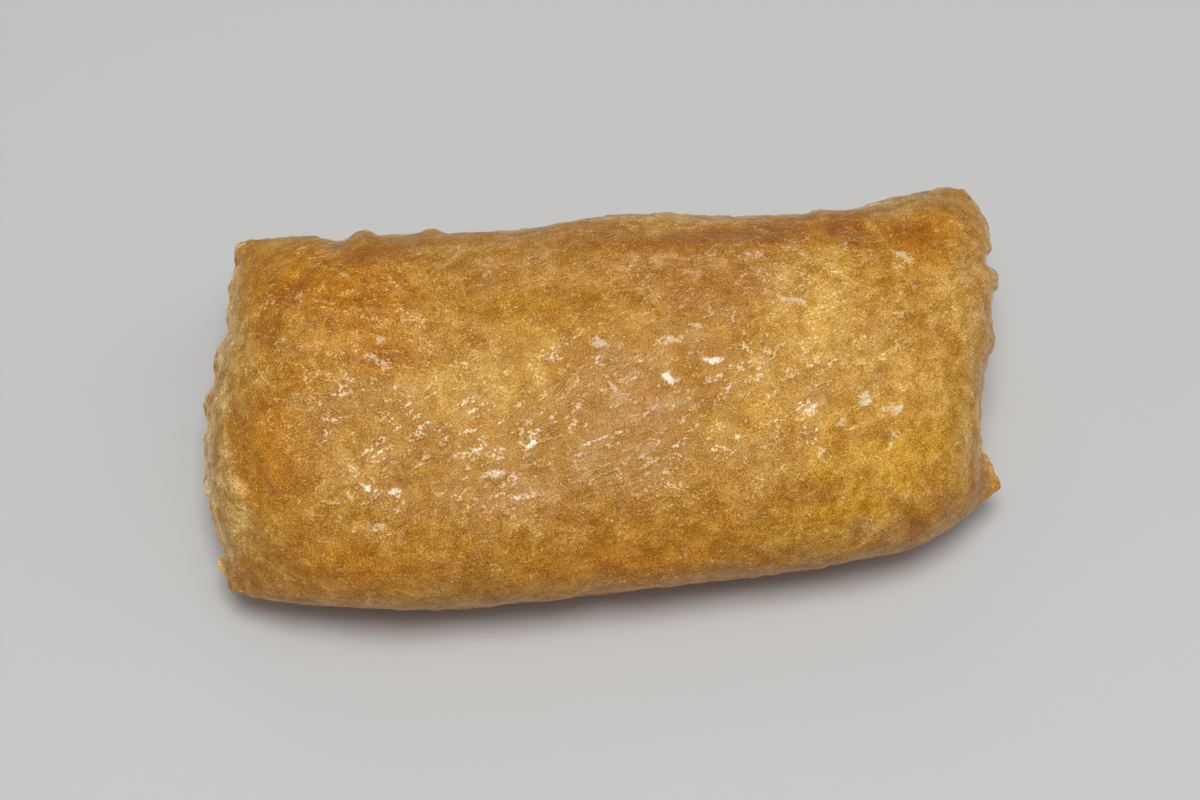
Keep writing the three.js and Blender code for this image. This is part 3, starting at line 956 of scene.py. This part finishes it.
def add_pattern(made, group, place, **values):
    pattern = made.add("ShaderNodeGroup", {"Place": place}, node_tree=group)
    for name, value in values.items():
        made.set(pattern.inputs[name.capitalize()], value)
    return pattern.outputs[0]


# The skin's patterns: sizes in metres, scales in cells per metre
GRAIN_SIZE = 0.16 * MM
RIPPLES = {"size": 1.4 * MM, "stretch": 0.38, "count": 3.8}
RISING_TURN = math.radians(-25)
FALLING_TURN = math.radians(38)
MOTTLE_SCALE = 500
RIPPLED_SCALE = 300
CHIP_SCALE = 3300
# the cells of the painted sheen on the wet skin
PAINTED_SHEEN_SCALE = 420

# Ramps from one value to another: where from, where to, and the results there if not 0 and 1
FALLING_RAMP = (0.4, 0.6)
RIPPLED_RAMP = (0.35, 0.65, 0.6, 1.0)
SHINY_RAMP = (0.0, 1.0, 0.55, 1.0)
DRY_RAMP = (0.5, 1.0, 1.0, 0.0)
CREST_RAMP = (0.45, 0.9)
CHIP_RAMP = (0.5, 0.62)
ZONE_EDGE_RAMP = (0.3, 0.7, 0.7, 1.3)
DEEP_RAMP = (0.4, 0.5)
LIGHT_RAMP = (0.5, 0.6)
GLINT_RAMP = (0.68, 0.8)
GLINT_CREST_RAMP = (0.5, 0.85)
GLINT_FILM_RAMP = (0.1, 0.8, 0.38, 0.75)
CORE_RAMP = (0.3, 0.9, 0.0, 0.85)
# where the painted sheen shows
PAINTED_SHEEN_RAMP = (0.5, 0.68)
# the cream of the glints and of the ripples' tops: painted highlight
PAINTED_GLINT_FILM_RAMP = (0.4, 0.95, 0.0, 0.56)
PAINTED_GLINT_CREST_RAMP = (0.3, 1.0, 0.0, 0.16)
# the milky white of the film's cores: partly the film's colour, partly painted highlight
MILKY_HIGHLIGHT_RAMP = (0.4, 0.85, 0.0, 0.14)
ROUGHNESS_RAMP = (0.0, 0.8, 0.5, 0.2)

# What the grain and the masks add to the skin's tone
TONE_MIDDLE = 0.505
GRAIN_TONE = 0.71
MOTTLE_TONE = 0.19
DRY_MOTTLE_TONE = 0.1
# the fine wrinkles' tops lighter and their valleys darker: partly the skin's own colour, partly painted
# light and shade
RIDGE_TONE = 0.05
CONTRASTS = {"falling": 0.45, "brown": 0.12, "dry": 0.24, "golden": -0.25}
# painted highlight on the ripples' tops
CREST_HIGHLIGHT_SHARE = 0.45
GLINT_SPREAD = 0.28  # how much of the chips on the ripples shine
CORE_SPREAD = 1.2  # how ragged a gathered spot is
# painted sheen of the wet skin
PAINTED_SHEEN_SHARE = 0.13

# What the skin's height is made of
GRAIN_RELIEF = 0.3
CREST_RELIEF = 0.4
FILM_RELIEF = 0.35


def skin_patterns(made, place, masks):
    """Adds the skin's grain, mottling, chips and ripples, and where it is dry, to the masks."""
    masks["grain"] = add_pattern(made, grain_group(), place, size=GRAIN_SIZE)
    rising, falling = (
        add_pattern(made, ripple_group(), place, turn=turn, **RIPPLES)
        for turn in (RISING_TURN, FALLING_TURN)
    )
    masks["ripples"] = made.mix(made.ramp(masks["falling"], *FALLING_RAMP), rising, falling)
    masks["mottle"] = made.noise(place, MOTTLE_SCALE, detail=4.0, roughness=0.65, distortion=0.4)
    masks["chips"] = made.noise(place, CHIP_SCALE, distortion=0.2)
    rippled = made.ramp(made.noise(place, RIPPLED_SCALE, distortion=0.5), *RIPPLED_RAMP)
    shiny = made.larger(masks["wet"], masks["falling"])
    masks["rippled"] = made.times(rippled, made.ramp(shiny, *SHINY_RAMP))
    masks["dry"] = made.ramp(masks["wet"], *DRY_RAMP)
    masks["crests"] = made.times(made.ramp(masks["ripples"], *CREST_RAMP), masks["rippled"])
    # Soft whitish patches on the wet skin: painted sheen.
    veil = made.noise(place, PAINTED_SHEEN_SCALE, detail=3.0, roughness=0.6, distortion=0.8)
    masks["veil"] = made.times(made.ramp(veil, *PAINTED_SHEEN_RAMP), masks["wet"])


def zone_colour(made, colours, masks):
    """The zones' colours over each other, each with a mottled edge."""
    edge = made.ramp(masks["mottle"], *ZONE_EDGE_RAMP)
    colour = opaque(colours.tan)
    for name in COLOUR_ZONES:
        share = made.math("MULTIPLY", masks[name], edge, clamp=True)
        colour = made.mix(share, colour, opaque(getattr(colours, name)))
    return colour


def grain_tint(made, colours, masks, contrast):
    """What the grain deepens and lightens the colour by."""
    mottling = made.plus(made.times(masks["dry"], DRY_MOTTLE_TONE), MOTTLE_TONE)
    tone = made.times(made.from_middle(masks["grain"]), GRAIN_TONE)
    tone = made.plus(tone, made.times(made.from_middle(masks["mottle"]), mottling))
    # Lighter on the fine wrinkles' tops and darker in their valleys: partly the thin skin's own colour,
    # partly painted light and shade.
    tone = made.plus(tone, made.times(made.from_middle(masks["ridge"]), RIDGE_TONE))
    tone = made.plus(made.times(tone, contrast), TONE_MIDDLE)
    white = opaque((1, 1, 1))
    tint = made.mix(made.ramp(tone, *DEEP_RAMP), opaque(colours.deep_tint), white)
    return made.mix(made.ramp(tone, *LIGHT_RAMP), tint, opaque(colours.light_tint))


def broth_film(made, masks):
    """How much film lies on the skin, and the cores where it has gathered."""
    most = made.times(made.larger(masks["rippled"], masks["film"]), GLINT_SPREAD)
    glint = made.ramp(made.plus(masks["chips"], most), *GLINT_RAMP)
    glint = made.times(made.ramp(masks["ripples"], *GLINT_CREST_RAMP), glint)
    film = made.times(glint, made.ramp(masks["film"], *GLINT_FILM_RAMP))
    core = made.times(made.from_middle(masks["chips"]), CORE_SPREAD)
    core = made.ramp(made.plus(masks["film"], core), *CORE_RAMP)
    return made.larger(film, core), core


def skin_colour(made, colours, masks, film, core):
    contrast = 1.0
    for name, amount in CONTRASTS.items():
        contrast = made.plus(contrast, made.times(masks[name], amount))
    colour = zone_colour(made, colours, masks)
    colour = made.mix(1.0, colour, grain_tint(made, colours, masks, contrast), "MULTIPLY")

    # The ripples' tops lightened: painted highlight.
    pale = made.times(masks["crests"], made.ramp(masks["chips"], *CHIP_RAMP))
    pale = made.times(pale, contrast)
    highlight_tint = opaque(colours.highlight_tint)
    colour = made.tinted(made.times(pale, CREST_HIGHLIGHT_SHARE), colour, highlight_tint)
    # The film's glints lightened, then the glints, the ripples' tops and the veil turned cream: painted
    # highlight and painted sheen.
    colour = made.tinted(film, colour, highlight_tint)

    painted_glint = made.larger(made.ramp(film, *PAINTED_GLINT_FILM_RAMP), made.ramp(pale, *PAINTED_GLINT_CREST_RAMP))
    painted_glint = made.larger(painted_glint, made.times(masks["veil"], PAINTED_SHEEN_SHARE))
    colour = made.mix(painted_glint, colour, opaque(colours.glint))
    # The gathered film's cores milky white: partly its own colour, partly painted highlight.
    return made.mix(made.ramp(core, *MILKY_HIGHLIGHT_RAMP), colour, opaque(colours.film))


def skin_surface(made, masks, film, grain_height):
    """The grain, the crests of the ripples and the film, as a fine relief of the surface."""
    height = made.times(masks["grain"], GRAIN_RELIEF)
    height = made.plus(height, made.times(masks["crests"], CREST_RELIEF))
    height = made.plus(height, made.times(film, FILM_RELIEF))
    return made.add("ShaderNodeBump", {"Strength": 1.0, "Distance": grain_height, "Height": height})


def tofu_skin_material(colours, relief):
    material, made = new_material("simmered_tofu_skin")
    place = made.add("ShaderNodeTexCoord").outputs["Object"]
    masks = {
        name: made.add("ShaderNodeAttribute", attribute_name=name).outputs["Fac"]
        for name in (*ZONES, "ridge", "film")
    }
    skin_patterns(made, place, masks)
    film, core = broth_film(made, masks)
    skin = made.add(
        "ShaderNodeBsdfPrincipled",
        {
            "Base Color": skin_colour(made, colours, masks, film, core),
            "Roughness": made.ramp(film, *ROUGHNESS_RAMP),
            "IOR": 1.33,
            "Subsurface Weight": 0.12,
            "Subsurface Radius": (1.0, 0.45, 0.16),
            "Subsurface Scale": 0.5 * MM,
            "Sheen Weight": 0.25,
            "Sheen Roughness": 0.2,
            "Coat Weight": film,
            "Coat Roughness": 0.16,
            "Coat IOR": 1.45,
            "Normal": skin_surface(made, masks, film, relief.grain_height),
        },
    )
    made.add("ShaderNodeOutputMaterial", {"Surface": skin})
    return material


FLOOR_GRAIN = 2 * MM


def floor_material(colour):
    material, made = new_material("pale_floor")
    place = made.add("ShaderNodeTexCoord").outputs["Object"]
    grain = add_pattern(made, grain_group(), place, size=FLOOR_GRAIN)
    surface = made.add("ShaderNodeBump", {"Strength": 0.4, "Distance": 0.05 * MM, "Height": grain})
    top = made.add(
        "ShaderNodeBsdfPrincipled",
        {"Base Color": opaque(colour), "Roughness": 0.75, "Normal": surface},
    )
    made.add("ShaderNodeOutputMaterial", {"Surface": top})
    return material


# ---------------------------------------------------------------------------------------------
# Stage

AIM = Vector((-0.795, -0.27, 11.6)) * MM  # the middle of the picture, inside the pouch
PICTURE_WIDTH = 1200  # pixels
VIEW_WIDTH = 120.7 * MM  # what the picture's width spans at the aim
SENSOR_WIDTH = 36  # mm
AIM_PIXEL = Vector((601, 399))
PICTURE_MIDDLE = Vector((600, 400))
FLOOR_SIZE = 3.0
CLIP_START, CLIP_END = 0.01, 10
LIGHT_COLOUR = (0.95, 0.98, 1)
ROOM_COLOUR = (0.97, 0.98, 1.0)

# Lights: name, its power's setting, azimuth and elevation in degrees, distance, width
LIGHTS = [
    ("key", "key_power", -5, 77, 0.55, 0.2),
    ("softbox", "soft_power", 8, 76, 0.55, 0.45),
    ("fill", "fill_power", 80, 42, 0.9, 0.7),
    ("side", "side_power", -85, 25, 0.9, 0.7),
    ("back", "back_power", 185, 40, 0.9, 0.7),
]


def direction(azimuth, elevation):
    """Unit vector from the object to where a camera or light stands."""
    return Vector((
        math.sin(azimuth) * math.cos(elevation),
        -math.cos(azimuth) * math.cos(elevation),
        math.sin(elevation),
    ))


def look_from(thing, towards):
    """Turn a camera or light, which stands in the given direction, to face the object."""
    thing.rotation_mode = "QUATERNION"
    thing.rotation_quaternion = (-towards).to_track_quat("-Z", "Y")


def add_floor(scene, colour):
    half = FLOOR_SIZE / 2
    corners = [(-half, -half, 0), (half, -half, 0), (half, half, 0), (-half, half, 0)]
    mesh = bpy.data.meshes.new("floor")
    mesh.from_pydata(corners, [], [(0, 1, 2, 3)])
    mesh.materials.append(floor_material(colour))
    floor = bpy.data.objects.new("floor", mesh)
    floor.location.z = CAD_BOX[0].z
    scene.collection.objects.link(floor)


def add_lights(scene, look):
    for name, setting, azimuth, elevation, distance, size in LIGHTS:
        data = bpy.data.lights.new(name, "AREA")
        data.shape = "DISK"
        data.size = size
        data.energy = getattr(look, setting)
        data.color = LIGHT_COLOUR
        light = bpy.data.objects.new(name, data)
        towards = direction(math.radians(azimuth), math.radians(elevation))
        light.location = AIM + towards * distance
        look_from(light, towards)
        scene.collection.objects.link(light)


def add_room(scene, brightness):
    world = bpy.data.worlds.new("room")
    world.use_nodes = True
    room = world.node_tree.nodes["Background"]
    room.inputs["Color"].default_value = opaque(ROOM_COLOUR)
    room.inputs["Strength"].default_value = brightness
    scene.world = world


def add_camera(scene, look):
    data = bpy.data.cameras.new("camera")
    data.lens = look.lens
    data.sensor_width = SENSOR_WIDTH
    data.clip_start, data.clip_end = CLIP_START, CLIP_END
    camera = bpy.data.objects.new("camera", data)
    towards = direction(look.azimuth, look.elevation)
    look_from(camera, towards)
    off = (PICTURE_MIDDLE - AIM_PIXEL) * (VIEW_WIDTH / PICTURE_WIDTH)
    aim = AIM + camera.rotation_quaternion @ Vector((off.x, -off.y, 0))
    camera.location = aim + towards * (look.lens / SENSOR_WIDTH * VIEW_WIDTH)
    scene.collection.objects.link(camera)
    scene.camera = camera


class INARI_OT_stage(bpy.types.Operator):
    """Lay the pale floor, hang the soft lights and stand the camera"""

    bl_idname = "inari.stage"
    bl_label = "Stage"

    def execute(self, context):
        scene = context.scene
        look = scene.inari_stage
        add_floor(scene, look.floor_colour)
        add_lights(scene, look)
        add_room(scene, look.sky)
        add_camera(scene, look)
        scene.view_settings.view_transform = "Standard"
        return {"FINISHED"}


class INARI_OT_tofu_pouch(bpy.types.Operator):
    """Make the simmered tofu pouch over its plain solid"""

    bl_idname = "inari.tofu_pouch"
    bl_label = "Tofu pouch"

    def execute(self, context):
        scene = context.scene
        mesh, points, x, q, rise, s = build_mesh(scene.inari_relief)
        for name, values in zone_amounts(points, x, q, rise, s).items():
            store(mesh, name, values)
        store(mesh, "film", film_spots(x, q, rise))
        mesh.materials.append(tofu_skin_material(scene.inari_colours, scene.inari_relief))
        pouch = bpy.data.objects.new("simmered_tofu_pouch", mesh)
        scene.collection.objects.link(pouch)
        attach(pouch, "root")
        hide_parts(POUCH_NODE)
        return {"FINISHED"}


class INARI_PT_parts(bpy.types.Panel):
    """The pieces of the inari sushi, in the order they are made"""

    bl_label = "Inari sushi"
    bl_idname = "INARI_PT_parts"
    bl_space_type = "VIEW_3D"
    bl_region_type = "UI"
    bl_category = "Inari sushi"

    def draw(self, context):
        layout = self.layout
        for setting in SETTINGS:
            group = getattr(context.scene, setting)
            box = layout.box()
            for name in group.__annotations__:
                box.prop(group, name)
        layout.operator(INARI_OT_stage.bl_idname)
        layout.operator(INARI_OT_tofu_pouch.bl_idname)


CLASSES = (
    InariRelief,
    InariColours,
    InariStage,
    INARI_OT_stage,
    INARI_OT_tofu_pouch,
    INARI_PT_parts,
)
SETTINGS = {"inari_relief": InariRelief, "inari_colours": InariColours, "inari_stage": InariStage}


def register():
    for made in CLASSES:
        bpy.utils.register_class(made)
    for name, group in SETTINGS.items():
        setattr(bpy.types.Scene, name, bpy.props.PointerProperty(type=group))


def unregister():
    for name in SETTINGS:
        delattr(bpy.types.Scene, name)
    for made in reversed(CLASSES):
        bpy.utils.unregister_class(made)


def main():
    register()
    bpy.ops.inari.stage()
    bpy.ops.inari.tofu_pouch()


if __name__ == "__main__":
    main()
